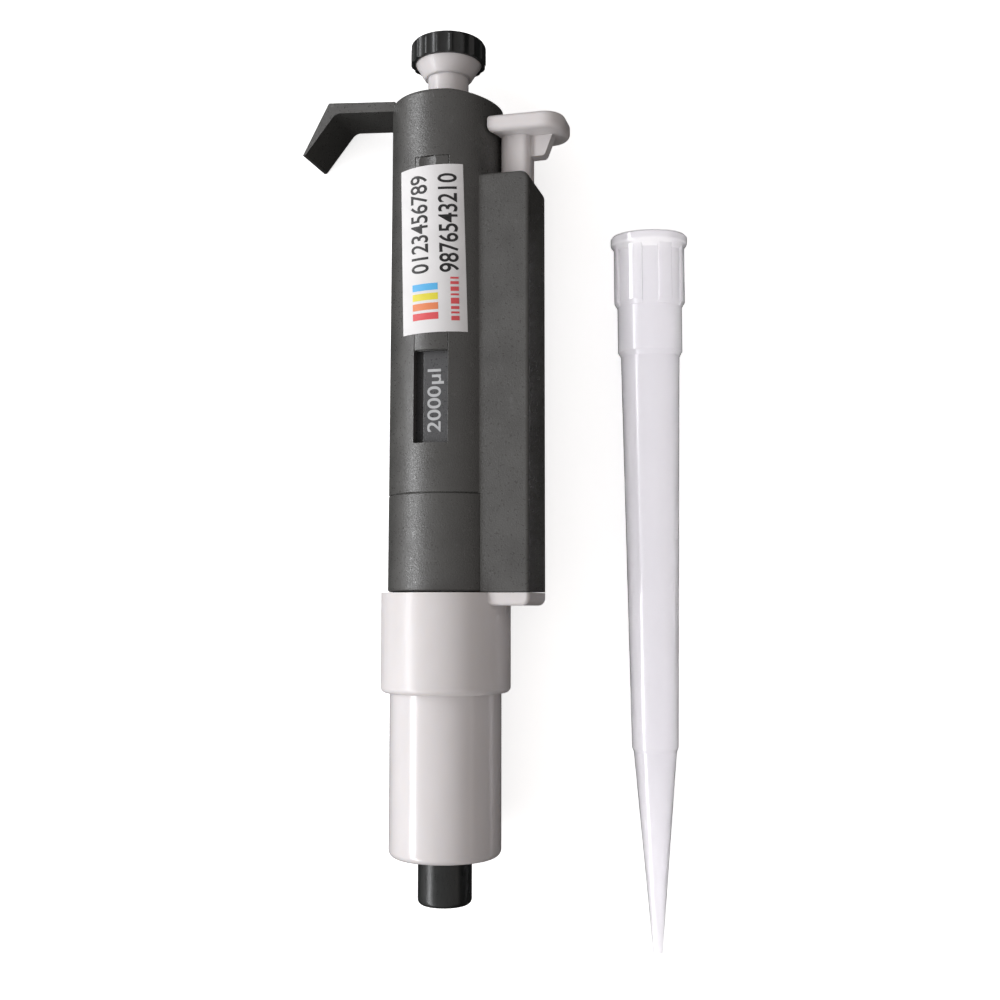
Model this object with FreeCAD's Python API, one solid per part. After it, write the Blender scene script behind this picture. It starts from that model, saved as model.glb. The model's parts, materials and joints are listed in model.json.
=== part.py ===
"""Fixed-volume hand pipette with a loose 5 ml tip, lying side by side on a bench.

The pipette is built upright: its axis is Z, the nozzle's mouth is at z = 0, the thumb knob is at
the top, the finger hook reaches to -X, the tip ejector stands at +X and the label faces -Y.
lay_down() then turns it on to its side, where it rests on the ejector collar, on the top of the
handle and on the corner of the hook. The tip is built upright too, with its point at z = 0.
All lengths are in millimetres.
"""
import FreeCAD, Part
import math
import os
from FreeCAD import Vector

# ---- driving dimensions: pipette, outside ----
NOZZLE_R = 5.5            # seal land that the tip is pushed on to
NOZZLE_NOSE = 1.1         # rounding of its mouth
NOZZLE_LAND = 8.3         # length of the seal land
NOZZLE_RELIEF = 0.6       # the neck behind the land is this much thinner
NOZZLE_OUT = 9.5          # nozzle standing out of the ejector sleeve
SLEEVE_R = 11.45
SLEEVE_LEN = 32.9
SLEEVE_NOSE = 1.5         # rounding of its lower end
COLLAR_R = 13.35
COLLAR_LEN = 20.3
GRIP_LEN = 19.7           # lower grip ring, up to the seam
SEAM_BEVEL = 0.22         # bevel on both edges of the seam
HANDLE_LEN = 103.25       # handle's nominal length; its rim stops RIM_LOW short of this
TUBE_R_BOTTOM = 12.0
TUBE_R_TOP = 11.7
HANDLE_BORE_R = 9.9
RIM_LOW = 0.55            # the tube's rim below the top of the handle's length
SHOULDER_DROP = 1.5       # how far the rim slopes down on the button's side
KNOB_LIFT = 8.8           # knob ring above the handle's top, at rest
KNOB_RING_LEN = 4.8
KNOB_R = 8.0
KNOB_WALL = 0.95
KNOB_FLUTES = 18
FLUTE_DEPTH = 0.4
STEM_R = 4.3
HOUSING_REACH = 19.4      # outer face of the ejector housing, from the axis
HOUSING_HALF = 7.65       # half its width
HOUSING_DROP = 17.85      # its top face below the handle's top rim
BUTTON_REACH = 25.9
BUTTON_HALF = 6.5
BUTTON_THICK = 3.5
BUTTON_LIFT = 9.2         # underside of the button above the housing
HOOK_REACH = 24.8         # outer corner of the finger hook, from the axis
HOOK_HALF = 6.1
HOOK_THICK = 2.25
HOOK_RISE = 0.85          # the arm climbs this much from root to corner
HOOK_DROP = 12.4          # length of the hook's down-turned lip
HOOK_LEAN = 28.0          # the lip leans out from the axis by this many degrees

# ---- driving dimensions: pipette, inside ----
STROKE = 9.0              # first stop: measures the volume
BLOWOUT = 1.6             # second stop: clears the last drop
EJECT_TRAVEL = 4.5
CYLINDER_R = 8.4          # swept area times STROKE is two millilitres
CYLINDER_WALL = 1.4
ROD_R = 3.0
WASHER_THICK = 1.5
BLOWOUT_SPRING_LEN = 8.0
CHANNEL_X = 15.25         # centre of the ejector's channel in the housing
BUTTON_STEM_X = 6.3       # stem of the ejector button: its width and depth
BUTTON_STEM_Y = 6.0
EJECTOR_SPRING_LEN = 22.0
EJECTOR_WIRE_R = 0.4      # wire of the ejector's spring
LUG_LEN = 2.6             # foot of the collar under the housing

# ---- driving dimensions: window, cover strip and label ----
WINDOW_HALF = 3.6
WINDOW_LEN = 18.75
WINDOW_LOW = 29.7         # window's lower edge above the handle's bottom face
COVER_LEN = 40.1          # strip above the window that hides the adjuster
COVER_DEPTH = 0.9
COVER_GAP = 0.12          # dark line round the strip
LABEL_LEN = 34.5
LABEL_ARC = 69.0          # degrees round the handle
LABEL_LOW = 51.95         # its lower edge above the handle's bottom face
LABEL_SKEW = 1.65         # degrees that the hand-stuck label leans
LABEL_THICK = 0.12
PLATE_PAD = 1.5           # volume plate behind the wall, round the window

# ---- driving dimensions: loose tip ----
TIP_LEN = 150.0
TIP_LIP_R = 8.07
TIP_LIP_LEN = 2.0
TIP_RIB_LEN = 13.1
TIP_RIBS = 7
TIP_RIB_R = 7.45
TIP_RIB_ARC = 25.0        # degrees that one rib spans
TIP_RIB_FROM = -27.0      # degrees from the tip's upper side to the middle of a rib
TIP_NECK_R = 6.8
TIP_NECK_LEN = 10.5
TIP_BODY_R = 6.18         # at the step under the neck
TIP_BODY_R_LOW = 4.86
TIP_CONE_LEN = 42.4
TIP_POINT_R = 1.02
TIP_WALL = 0.75
TIP_SOCKET_LEN = 8.0      # straight land in the mouth that grips the nozzle
TIP_LEAD_IN = 1.0

# ---- driving dimensions: how the two pieces lie on the bench ----
TIP_ASIDE = 43.5          # tip's point to the +X side of the pipette's nozzle
TIP_AHEAD = 12.0          # tip's point beyond the nozzle
TIP_TURN = 0.4            # degrees that the tip turns in towards the pipette

# ---- clearances ----
RUN = 0.05                # radial clearance of a sliding fit
GAP = 0.15                # face to face between bodies that move apart
FREE = 0.45               # radial room round a piece that must not rub
EPS = 0.01

# ---- levels along the axis, from the nozzle's mouth ----
Z_SLEEVE = NOZZLE_OUT
Z_COLLAR = Z_SLEEVE + SLEEVE_LEN
Z_HANDLE = Z_COLLAR + COLLAR_LEN + GAP
Z_SEAM = Z_HANDLE + GRIP_LEN
Z_TOP = Z_HANDLE + HANDLE_LEN
Z_RIM = Z_TOP - RIM_LOW
Z_KNOB = Z_TOP + KNOB_LIFT
Z_KNOB_TOP = Z_KNOB + KNOB_RING_LEN
Z_HOUSING = Z_TOP - HOUSING_DROP
Z_BUTTON = Z_HOUSING + BUTTON_LIFT
Z_WINDOW = Z_HANDLE + WINDOW_LOW
TRAVEL = STROKE + BLOWOUT


# ---- helpers ----
def rod(radius, low, high, x=0.0, y=0.0):
    return Part.makeCylinder(radius, high - low, Vector(x, y, low))


def ring(outer, inner, low, high):
    return rod(outer, low, high).cut(rod(inner, low - 1, high + 1))


def turned(points):
    """Solid of revolution about Z from an outline of (radius, height) points."""
    corners = [Vector(r, 0, z) for r, z in points]
    face = Part.Face(Part.makePolygon(corners + [corners[0]]))
    return face.revolve(Vector(0, 0, 0), Vector(0, 0, 1), 360)


def block(x0, x1, y0, y1, z0, z1):
    return Part.makeBox(x1 - x0, y1 - y0, z1 - z0, Vector(x0, y0, z0))


def plate_xz(points, half):
    """Outline of (x, z) points, thickened to half on each side of y = 0."""
    corners = [Vector(x, -half, z) for x, z in points]
    face = Part.Face(Part.makePolygon(corners + [corners[0]]))
    return face.extrude(Vector(0, 2 * half, 0))


def edges_where(shape, test):
    return [edge for edge in shape.Edges if test(edge.CenterOfMass, edge)]


def rounded(shape, radius, test):
    return shape.makeFillet(radius, edges_where(shape, test))


def is_upright(edge):
    ends = [v.Point for v in edge.Vertexes]
    return len(ends) == 2 and abs(ends[0].x - ends[1].x) < EPS and abs(ends[0].y - ends[1].y) < EPS


def is_circle(edge, radius, z):
    curve = edge.Curve
    return (isinstance(curve, Part.Circle) and abs(curve.Radius - radius) < EPS
            and abs(curve.Center.z - z) < EPS)


def tube_radius(z):
    """Outer radius of the handle, which narrows a little towards the knob."""
    return TUBE_R_BOTTOM + (TUBE_R_TOP - TUBE_R_BOTTOM) * (z - Z_HANDLE) / HANDLE_LEN


def handle_cone(low, high, grow=0.0):
    return Part.makeCone(tube_radius(low) + grow, tube_radius(high) + grow, high - low,
                         Vector(0, 0, low))


def coil(mean_r, wire_r, low, high, turns, x=0.0):
    """Round-wire compression spring between two levels."""
    pitch = (high - low - 2 * wire_r) / turns
    path = Part.makeLongHelix(pitch, pitch * turns, mean_r)
    start = Vector(mean_r, 0, 0)
    lead = Vector(0, mean_r, pitch / (2 * math.pi))
    section = Part.Wire(Part.makeCircle(wire_r, start, lead))
    spring = Part.Wire(path).makePipeShell([section], True, True)
    spring.translate(Vector(x, 0, low + wire_r))
    return spring


# ---- barrel: nozzle, cylinder and what holds them ----
Z_FLARE = NOZZLE_OUT + 3.0
CYLINDER_OUT = CYLINDER_R + CYLINDER_WALL
Z_CYLINDER = Z_FLARE + (CYLINDER_OUT - NOZZLE_R) + 1.0
Z_BORE = Z_CYLINDER + 3.5                     # level where the full bore starts
PISTON_LEN = 6.0
Z_PISTON = Z_BORE + TRAVEL + 0.4              # piston's underside at rest
Z_NUT = Z_HANDLE - 3.2
NUT_R = COLLAR_R - 2.4
GRIP_BORE_R = TUBE_R_BOTTOM - 1.7
Z_FLANGE = Z_HANDLE + 9.0
FLANGE_LEN = 2.5
Z_SEAT = Z_FLANGE + FLANGE_LEN
SEAT_LEN = 2.5
Z_WASHER = Z_SEAT + SEAT_LEN + BLOWOUT_SPRING_LEN
Z_BOSS = Z_WASHER + WASHER_THICK + STROKE     # stop collar's boss at rest
Z_ADJUSTER = Z_WINDOW + WINDOW_LEN + PLATE_PAD + 0.5
ADJUSTER_LEN = 5.5
STOP_FLANGE = 2.0
STOP_FLANGE_R = HANDLE_BORE_R - 1.3
BOSS_R = ROD_R + 1.2
Z_COLLAR_FLANGE = Z_ADJUSTER - RUN - STOP_FLANGE
NOZZLE_BORE_R = 2.2


def make_barrel():
    """Nozzle and cylinder in one moulding, open at the top."""
    land_end = NOZZLE_NOSE + NOZZLE_LAND
    neck_r = NOZZLE_R - NOZZLE_RELIEF
    body = turned([
        (NOZZLE_BORE_R, 0), (NOZZLE_R, 0), (NOZZLE_R, land_end), (neck_r, land_end),
        (neck_r, Z_FLARE), (CYLINDER_OUT, Z_CYLINDER), (CYLINDER_OUT, Z_FLANGE),
        (GRIP_BORE_R, Z_FLANGE), (GRIP_BORE_R, Z_SEAT), (CYLINDER_R, Z_SEAT),
        (CYLINDER_R, Z_BORE), (NOZZLE_BORE_R, Z_CYLINDER - 1.0)])
    return rounded(body, NOZZLE_NOSE, lambda c, e: is_circle(e, NOZZLE_R, 0))


def make_coupling_nut():
    """Nut that draws the barrel's flange up into the lower grip."""
    bore = CYLINDER_OUT + RUN
    nut = turned([(bore, Z_NUT), (NUT_R, Z_NUT), (NUT_R, Z_HANDLE), (GRIP_BORE_R, Z_HANDLE),
                  (GRIP_BORE_R, Z_FLANGE), (bore, Z_FLANGE)])
    for k in range(12):
        angle = math.radians(30 * k)
        nut = nut.cut(rod(0.5, Z_NUT - 1, Z_HANDLE, NUT_R * math.cos(angle), NUT_R * math.sin(angle)))
    return nut


def make_spring_seat():
    seat = ring(GRIP_BORE_R, ROD_R + 2 * RUN, Z_SEAT, Z_SEAT + SEAT_LEN)
    for k in range(6):
        angle = math.radians(60 * k)
        breather = rod(0.8, Z_SEAT - 1, Z_SEAT + SEAT_LEN + 1, 5.0 * math.cos(angle), 5.0 * math.sin(angle))
        seat = seat.cut(breather)
    return seat


# ---- handle ----
LIP_R = KNOB_R + 0.6
FRUSTUM_LEN = 3.0         # cone under the knob
FRUSTUM_R = 5.1           # its narrow end
Z_BUSH = Z_KNOB - FRUSTUM_LEN - TRAVEL - 0.5  # top face of the bush, under the knob's cone
BUSH_LEN = 5.0
EJECTOR_SPRING_R = min(BUTTON_STEM_X, BUTTON_STEM_Y) / 2 - 0.2
EJECTOR_ROD_R = EJECTOR_SPRING_R - 2 * EJECTOR_WIRE_R - 0.6
CHANNEL_LOW = Z_HOUSING - 48.0                # shelf that the ejector spring stands on
LEAN = math.radians(HOOK_LEAN)
LIP_X = HOOK_REACH + HOOK_DROP * math.sin(LEAN)         # free end of the hook's lip
LIP_Z = Z_TOP + HOOK_RISE - HOOK_DROP * math.cos(LEAN)


def seam_bevel(shape):
    """Small bevel on the edge that meets the other half of the handle at the seam."""
    edges = edges_where(shape, lambda c, e: is_circle(e, tube_radius(Z_SEAM), Z_SEAM))
    return shape.makeChamfer(SEAM_BEVEL, edges)


def make_lower_grip():
    grip = handle_cone(Z_HANDLE, Z_SEAM)
    grip = rounded(grip, 0.5, lambda c, e: is_circle(e, TUBE_R_BOTTOM, Z_HANDLE))
    return seam_bevel(grip).cut(rod(GRIP_BORE_R, Z_HANDLE - 1, Z_SEAM + 1))


def housing_block():
    box = block(0, HOUSING_REACH, -HOUSING_HALF, HOUSING_HALF, Z_HANDLE, Z_HOUSING)
    box = rounded(box, 2.0, lambda c, e: c.x > HOUSING_REACH - EPS and c.z > Z_HOUSING - EPS)
    flank = lambda c, e: c.x > EPS and abs(abs(c.y) - HOUSING_HALF) < EPS and c.z > Z_HANDLE + EPS
    return rounded(box, 0.8, flank)


def hook_block():
    """Finger hook: a flat arm with a thin lip that turns down and leans outwards."""
    root_top = Z_TOP - 0.3
    corner = Z_TOP + HOOK_RISE
    under = lambda x: corner - HOOK_THICK - HOOK_RISE * (HOOK_REACH + x) / (HOOK_REACH - TUBE_R_TOP)
    inner_x = -HOOK_REACH + 1.6
    arm = plate_xz([(-HANDLE_BORE_R, root_top), (-HOOK_REACH, corner), (-LIP_X, LIP_Z),
                    (-LIP_X + 0.6, LIP_Z + 0.1), (inner_x, under(inner_x)),
                    (-HANDLE_BORE_R, under(-HANDLE_BORE_R))], HOOK_HALF)
    across = lambda c, e: abs(c.y) < EPS and e.Length > HOOK_HALF
    arm = rounded(arm, 0.35, lambda c, e: across(c, e) and abs(c.x + HOOK_REACH) < EPS)
    return rounded(arm, 2.2, lambda c, e: across(c, e) and abs(c.x - inner_x) < EPS)


def cover_recess(grow):
    """Pocket of the cover strip in the handle's wall, widened and deepened by grow."""
    low = Z_WINDOW + WINDOW_LEN
    high = low + COVER_LEN
    pocket = block(-WINDOW_HALF - grow, WINDOW_HALF + grow, -20, 0, low - grow, high + grow)
    return pocket.cut(handle_cone(low - 2, high + 2, -COVER_DEPTH - grow))


def make_handle_shell():
    """Upper handle with the ejector housing and finger hook moulded on."""
    shell = seam_bevel(handle_cone(Z_SEAM, Z_RIM))
    shell = rounded(shell, 0.8, lambda c, e: is_circle(e, tube_radius(Z_RIM), Z_RIM))
    shell = shell.cut(plate_xz([(2.0, Z_RIM + 0.1), (TUBE_R_TOP + 1, Z_RIM - SHOULDER_DROP),
                                (TUBE_R_TOP + 1, Z_RIM + 0.1)], 2 * TUBE_R_BOTTOM))
    housing = housing_block().cut(handle_cone(Z_HANDLE - 1, Z_SEAM, RUN))
    shell = shell.fuse([housing, hook_block()])
    shell = shell.cut(rod(HANDLE_BORE_R, Z_SEAM - 1, Z_BUSH))
    shell = shell.cut(rod(LIP_R, Z_BUSH - 1, Z_TOP + 1))
    half_x, half_y = BUTTON_STEM_X / 2 + 2 * RUN, BUTTON_STEM_Y / 2 + 2 * RUN
    shell = shell.cut(block(CHANNEL_X - half_x, CHANNEL_X + half_x, -half_y, half_y,
                            CHANNEL_LOW, Z_HOUSING + 1))
    shell = shell.cut(rod(EJECTOR_ROD_R + 2 * RUN, Z_HANDLE - 1, CHANNEL_LOW + 1, CHANNEL_X))
    window = block(-WINDOW_HALF, WINDOW_HALF, -20, 0, Z_WINDOW, Z_WINDOW + WINDOW_LEN)
    shell = shell.cut(window).cut(cover_recess(0.0))
    return shell.removeSplitter()


def make_cover_strip():
    """Strip clipped over the adjuster, with a lens-shaped dent for a finger nail at its top."""
    low = Z_WINDOW + WINDOW_LEN
    high = low + COVER_LEN
    strip = cover_recess(-COVER_GAP).common(handle_cone(low - 2, high + 2, -RUN))
    middle = high - 1.3
    dent = Part.makeSphere(5.0, Vector(-1.2, -tube_radius(middle) - 4.4, middle))
    return strip.cut(dent)


PLATE_BACK = HANDLE_BORE_R - 0.75


def make_volume_plate():
    """Plate behind the window that carries the volume figures; it fills all but the left side."""
    low, high = Z_WINDOW - PLATE_PAD, Z_WINDOW + WINDOW_LEN + PLATE_PAD
    face = -HANDLE_BORE_R - 0.25
    raised = block(-1.85, WINDOW_HALF - RUN, face, -PLATE_BACK + 0.4, Z_WINDOW + RUN,
                   Z_WINDOW + WINDOW_LEN - RUN)
    back = ring(HANDLE_BORE_R, PLATE_BACK, low, high)
    wide = WINDOW_HALF + PLATE_PAD
    back = back.common(block(-wide, wide, -20, 0, low, high))
    return back.fuse(raised.common(handle_cone(low, high, -0.3))).cut(
        rod(PLATE_BACK, low - 1, high + 1)).removeSplitter()


def make_label():
    """Paper label stuck round the front of the handle, a little askew."""
    low = Z_HANDLE + LABEL_LOW
    high = low + LABEL_LEN
    skin = handle_cone(low - 4, high + 4, LABEL_THICK).cut(handle_cone(low - 5, high + 5))
    half = tube_radius(low) * math.sin(math.radians(LABEL_ARC / 2))
    cutter = block(-half, half, -20, -4, low, high)
    cutter.rotate(Vector(0, 0, (low + high) / 2), Vector(0, 1, 0), -LABEL_SKEW)
    return skin.common(cutter)


def make_top_bush():
    return ring(HANDLE_BORE_R, STEM_R + RUN, Z_BUSH - BUSH_LEN, Z_BUSH)


def make_adjuster():
    """Threaded ring that sets the plunger's upper stop; two slots take a spanner."""
    nut = ring(HANDLE_BORE_R, BOSS_R + 0.6, Z_ADJUSTER, Z_ADJUSTER + ADJUSTER_LEN)
    slot = block(-20, 20, -1.0, 1.0, Z_ADJUSTER + ADJUSTER_LEN - 1.5, Z_ADJUSTER + ADJUSTER_LEN + 1)
    return nut.cut(slot)


# ---- plunger ----
CORE_R = KNOB_R - KNOB_WALL
Z_STEM = Z_BUSH - BUSH_LEN - TRAVEL - 6.0


def make_knob_ring():
    """Fluted cap that grips the thumb, hollow under its top."""
    skin = rod(KNOB_R, Z_KNOB, Z_KNOB_TOP)
    skin = rounded(skin, 1.3, lambda c, e: is_circle(e, KNOB_R, Z_KNOB_TOP))
    skin = rounded(skin, 0.3, lambda c, e: is_circle(e, KNOB_R, Z_KNOB))
    flute_r = 2.4
    reach = KNOB_R + flute_r - FLUTE_DEPTH
    for k in range(KNOB_FLUTES):
        angle = 2 * math.pi * k / KNOB_FLUTES
        skin = skin.cut(rod(flute_r, Z_KNOB - 1, Z_KNOB_TOP + 1, reach * math.cos(angle),
                            reach * math.sin(angle)))
    return skin.cut(rod(CORE_R, Z_KNOB - 1, Z_KNOB_TOP - 1.2))


def make_knob_core():
    """Pale core of the knob, its cone and the stem that runs through the bush."""
    top = Z_KNOB_TOP - 1.2
    body = turned([(0, Z_STEM), (STEM_R, Z_STEM), (STEM_R, Z_KNOB - FRUSTUM_LEN),
                   (FRUSTUM_R - 0.2, Z_KNOB - FRUSTUM_LEN), (FRUSTUM_R, Z_KNOB - FRUSTUM_LEN + 0.2),
                   (CORE_R - 0.1, Z_KNOB + 0.2),
                   (CORE_R, Z_KNOB + 0.2), (CORE_R, top), (0, top)])
    return body.cut(rod(ROD_R, Z_STEM - 1, top - 2.0))


def make_plunger_rod():
    return rod(ROD_R, Z_PISTON + PISTON_LEN - 3.0, Z_KNOB_TOP - 3.2)


def make_stop_collar():
    return turned([(ROD_R, Z_BOSS), (BOSS_R, Z_BOSS), (BOSS_R, Z_COLLAR_FLANGE),
                   (STOP_FLANGE_R, Z_COLLAR_FLANGE), (STOP_FLANGE_R, Z_COLLAR_FLANGE + STOP_FLANGE),
                   (ROD_R, Z_COLLAR_FLANGE + STOP_FLANGE)])


def make_piston():
    groove_low = Z_PISTON + 1.6
    groove_high = groove_low + 2.0
    outer = CYLINDER_R - 0.25
    body = turned([(0, Z_PISTON), (outer, Z_PISTON), (outer, groove_low), (outer - 1.5, groove_low),
                   (outer - 1.5, groove_high), (outer, groove_high), (outer, Z_PISTON + PISTON_LEN),
                   (0, Z_PISTON + PISTON_LEN)])
    return body.cut(rod(ROD_R, Z_PISTON + PISTON_LEN - 3.0, Z_PISTON + PISTON_LEN + 1))


def make_piston_seal():
    groove_low = Z_PISTON + 1.6
    groove_high = groove_low + 2.0
    lip = 0.5
    inner = CYLINDER_R - 0.25 - 1.5
    outer = CYLINDER_R - RUN
    return turned([(inner, groove_low), (outer - lip, groove_low), (outer, groove_low + lip),
                   (outer, groove_high - lip), (outer - lip, groove_high), (inner, groove_high)])


# ---- blow-out stop and springs ----
def make_blowout_washer():
    return ring(HANDLE_BORE_R - 2 * RUN, ROD_R + RUN, Z_WASHER, Z_WASHER + WASHER_THICK)


def make_blowout_spring():
    return coil(HANDLE_BORE_R - 2.5, 0.7, Z_SEAT + SEAT_LEN, Z_WASHER, 3)


def make_plunger_spring():
    return coil(BOSS_R + 2.1, 0.5, Z_WASHER + WASHER_THICK, Z_COLLAR_FLANGE, 8)


def make_ejector_spring():
    return coil(EJECTOR_SPRING_R - EJECTOR_WIRE_R, EJECTOR_WIRE_R, CHANNEL_LOW,
                CHANNEL_LOW + EJECTOR_SPRING_LEN, 11, CHANNEL_X)


# ---- tip ejector ----
def make_ejector_button():
    """Thumb pad, the web under it and the stem that slides in the housing."""
    z0, z1 = Z_BUTTON, Z_BUTTON + BUTTON_THICK
    pad = block(TUBE_R_TOP - 3, BUTTON_REACH, -BUTTON_HALF, BUTTON_HALF, z0, z1)
    pad = rounded(pad, 4.5, lambda c, e: c.x > BUTTON_REACH - EPS and is_upright(e))
    rim = lambda c, e: (c.z > z1 - EPS or c.z < z0 + EPS) and c.x > TUBE_R_TOP - 2.9
    pad = rounded(pad, 1.2, rim)
    pad = pad.cut(rod(tube_radius(z0) + FREE, z0 - 1, z1 + 1))
    half_x, half_y = BUTTON_STEM_X / 2, BUTTON_STEM_Y / 2
    stem_low = CHANNEL_LOW + EJECTOR_SPRING_LEN
    stem = block(CHANNEL_X - half_x, CHANNEL_X + half_x, -half_y, half_y, stem_low, z0 + 1)
    stem = rounded(stem, 1.6, lambda c, e: is_upright(e))
    web_low = Z_HOUSING + EJECT_TRAVEL + 0.35
    out = CHANNEL_X + half_x
    web = plate_xz([(out - 1, web_low - 0.1), (out + 2.9, web_low), (out + 4.6, z0 + 0.1),
                    (out - 1, z0 + 0.1)], 1.5)
    web = rounded(web, 0.9, lambda c, e: abs(c.y) < EPS and c.x > out + 2.8 and c.z < web_low + 0.2)
    button = pad.fuse([stem, web]).removeSplitter()
    return button.cut(rod(EJECTOR_ROD_R, stem_low - 1, stem_low + 5.0, CHANNEL_X))


def make_ejector_rod():
    low = Z_HANDLE - GAP
    bar = rod(EJECTOR_ROD_R, low, CHANNEL_LOW + EJECTOR_SPRING_LEN + 5.0, CHANNEL_X)
    return bar.cut(rod(0.8, low - 1, low + 6.0, CHANNEL_X))


def make_ejector_screw():
    low = Z_HANDLE - GAP - LUG_LEN
    head = rod(1.9, low, low + 1.1, CHANNEL_X)
    cross = block(CHANNEL_X - 1.2, CHANNEL_X + 1.2, -0.25, 0.25, low - 1, low + 0.5)
    cross = cross.fuse(block(CHANNEL_X - 0.25, CHANNEL_X + 0.25, -1.2, 1.2, low - 1, low + 0.5))
    shank = rod(0.8, low + 1.0, low + LUG_LEN + 5.0, CHANNEL_X)
    return head.fuse(shank).cut(cross).removeSplitter()


SLEEVE_SOCKET = 4.0       # sleeve pushed up into the collar
COLLAR_BORE_R = COLLAR_R - 1.6


def make_ejector_collar():
    top = Z_HANDLE - GAP
    collar = rod(COLLAR_R, Z_COLLAR, top)
    collar = rounded(collar, 1.2, lambda c, e: is_circle(e, COLLAR_R, Z_COLLAR))
    lug = block(0, HOUSING_REACH, -HOUSING_HALF, HOUSING_HALF, top - LUG_LEN, top)
    lug = rounded(lug, 1.5, lambda c, e: c.x > HOUSING_REACH - EPS and c.z < top - LUG_LEN + EPS)
    lug = rounded(lug, 0.8, lambda c, e: c.x > EPS and abs(abs(c.y) - HOUSING_HALF) < EPS
                  and c.z < top - EPS)
    collar = collar.fuse(lug).removeSplitter()
    collar = collar.cut(rod(SLEEVE_R, Z_COLLAR - 1, Z_COLLAR + SLEEVE_SOCKET))
    collar = collar.cut(rod(COLLAR_BORE_R, Z_COLLAR + SLEEVE_SOCKET - EPS, top + 1))
    collar = collar.cut(rod(0.9, top - LUG_LEN - 1, top + 1, CHANNEL_X))
    return collar.cut(rod(2.0, top - LUG_LEN - 1, top - LUG_LEN + 1.1, CHANNEL_X))


SLEEVE_BORE_R = CYLINDER_OUT + FREE


def make_ejector_sleeve():
    sleeve = rod(SLEEVE_R, Z_SLEEVE, Z_COLLAR + SLEEVE_SOCKET)
    sleeve = rounded(sleeve, SLEEVE_NOSE, lambda c, e: is_circle(e, SLEEVE_R, Z_SLEEVE))
    sleeve = sleeve.cut(rod(SLEEVE_BORE_R, Z_SLEEVE + 1.3, Z_COLLAR + SLEEVE_SOCKET + 1))
    return sleeve.cut(rod(NOZZLE_R + 2 * RUN, Z_SLEEVE - 1, Z_SLEEVE + 3))


# ---- loose tip ----
Z_LIP = TIP_LEN - TIP_LIP_LEN
Z_RIB = Z_LIP - TIP_RIB_LEN
Z_NECK = Z_RIB - TIP_NECK_LEN


def make_rib(index):
    """Flat rib on the tip's head, sloped off at its lower end."""
    root = TIP_NECK_R - 0.2
    corners = [Vector(r, 0, z) for r, z in ((root, Z_RIB), (TIP_NECK_R + 0.1, Z_RIB),
                                           (TIP_RIB_R, Z_RIB + 1.0), (TIP_RIB_R, Z_LIP), (root, Z_LIP))]
    face = Part.Face(Part.makePolygon(corners + [corners[0]]))
    rib = face.revolve(Vector(0, 0, 0), Vector(0, 0, 1), TIP_RIB_ARC)
    rib = rounded(rib, 0.3, lambda c, e: is_upright(e) and math.hypot(c.x, c.y) > TIP_RIB_R - EPS)
    middle = TIP_RIB_FROM - 90 + 360 * index / TIP_RIBS
    rib.rotate(Vector(0, 0, 0), Vector(0, 0, 1), middle - TIP_RIB_ARC / 2)
    return rib


def make_tip():
    """Thin-walled 5 ml tip: lip, ribbed head, neck, long body and a drawn-out point."""
    socket_high = TIP_LEN - TIP_LEAD_IN
    socket_low = socket_high - TIP_SOCKET_LEN
    shoulder = 0.35
    outside = turned([
        (0, 0), (TIP_POINT_R, 0), (TIP_BODY_R_LOW - shoulder, TIP_CONE_LEN - 0.8),
        (TIP_BODY_R_LOW, TIP_CONE_LEN), (TIP_BODY_R, Z_NECK), (TIP_NECK_R - 0.2, Z_NECK + 0.8),
        (TIP_NECK_R, Z_NECK + 1.1), (TIP_NECK_R, Z_RIB), (TIP_NECK_R + 0.1, Z_RIB + 0.5),
        (TIP_NECK_R + 0.1, Z_LIP - 1.2), (TIP_RIB_R, Z_LIP - 0.5), (TIP_LIP_R - 0.15, Z_LIP),
        (TIP_LIP_R, Z_LIP + 0.4), (TIP_LIP_R, TIP_LEN - 0.4), (TIP_LIP_R - 0.35, TIP_LEN),
        (0, TIP_LEN)])
    outside = outside.fuse([make_rib(k) for k in range(TIP_RIBS)])
    inside = turned([
        (0, -1), (TIP_POINT_R - 0.45, -1), (TIP_POINT_R - 0.45, 0),
        (TIP_BODY_R_LOW - TIP_WALL, TIP_CONE_LEN), (TIP_BODY_R - TIP_WALL, Z_NECK),
        (NOZZLE_R, socket_low), (NOZZLE_R, socket_high), (NOZZLE_R + 0.8, TIP_LEN),
        (NOZZLE_R + 0.8, TIP_LEN + 1), (0, TIP_LEN + 1)])
    return outside.removeSplitter().cut(inside)


# ---- laying the set out on the bench ----
Z_REST = Z_HANDLE - GAP                       # collar's rim, where it touches the bench
Z_REST_TOP = Z_TOP - 1.0                      # handle's top, above its rounded edge


def rest_angles():
    """Pitch that brings the handle's top on to the bench, and roll that brings the hook down."""
    pitch = math.atan2(COLLAR_R - TUBE_R_TOP, Z_REST_TOP - Z_REST)
    height = COLLAR_R * math.cos(pitch) - (LIP_Z - Z_REST) * math.sin(pitch)
    reach = math.hypot(LIP_X, HOOK_HALF)
    roll = math.asin(height / (reach * math.cos(pitch))) - math.atan2(HOOK_HALF, LIP_X)
    return math.degrees(pitch), math.degrees(roll)


PITCH, ROLL = rest_angles()
TIP_PITCH = math.degrees(math.atan2(TIP_LIP_R - TIP_BODY_R_LOW, TIP_LEN - TIP_CONE_LEN))


def turn(shape, axis, degrees):
    shape.rotate(Vector(0, 0, 0), axis, degrees)


def lay_down(shape):
    """Upright pipette to its side: knob to +Y, label up, ejector to +X and a little high."""
    turn(shape, Vector(1, 0, 0), -90)
    turn(shape, Vector(0, 1, 0), -ROLL)
    turn(shape, Vector(1, 0, 0), -PITCH)
    pitch = math.radians(PITCH)
    shape.translate(Vector(0, 0, COLLAR_R * math.cos(pitch) + Z_REST * math.sin(pitch)))
    return shape


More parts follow.
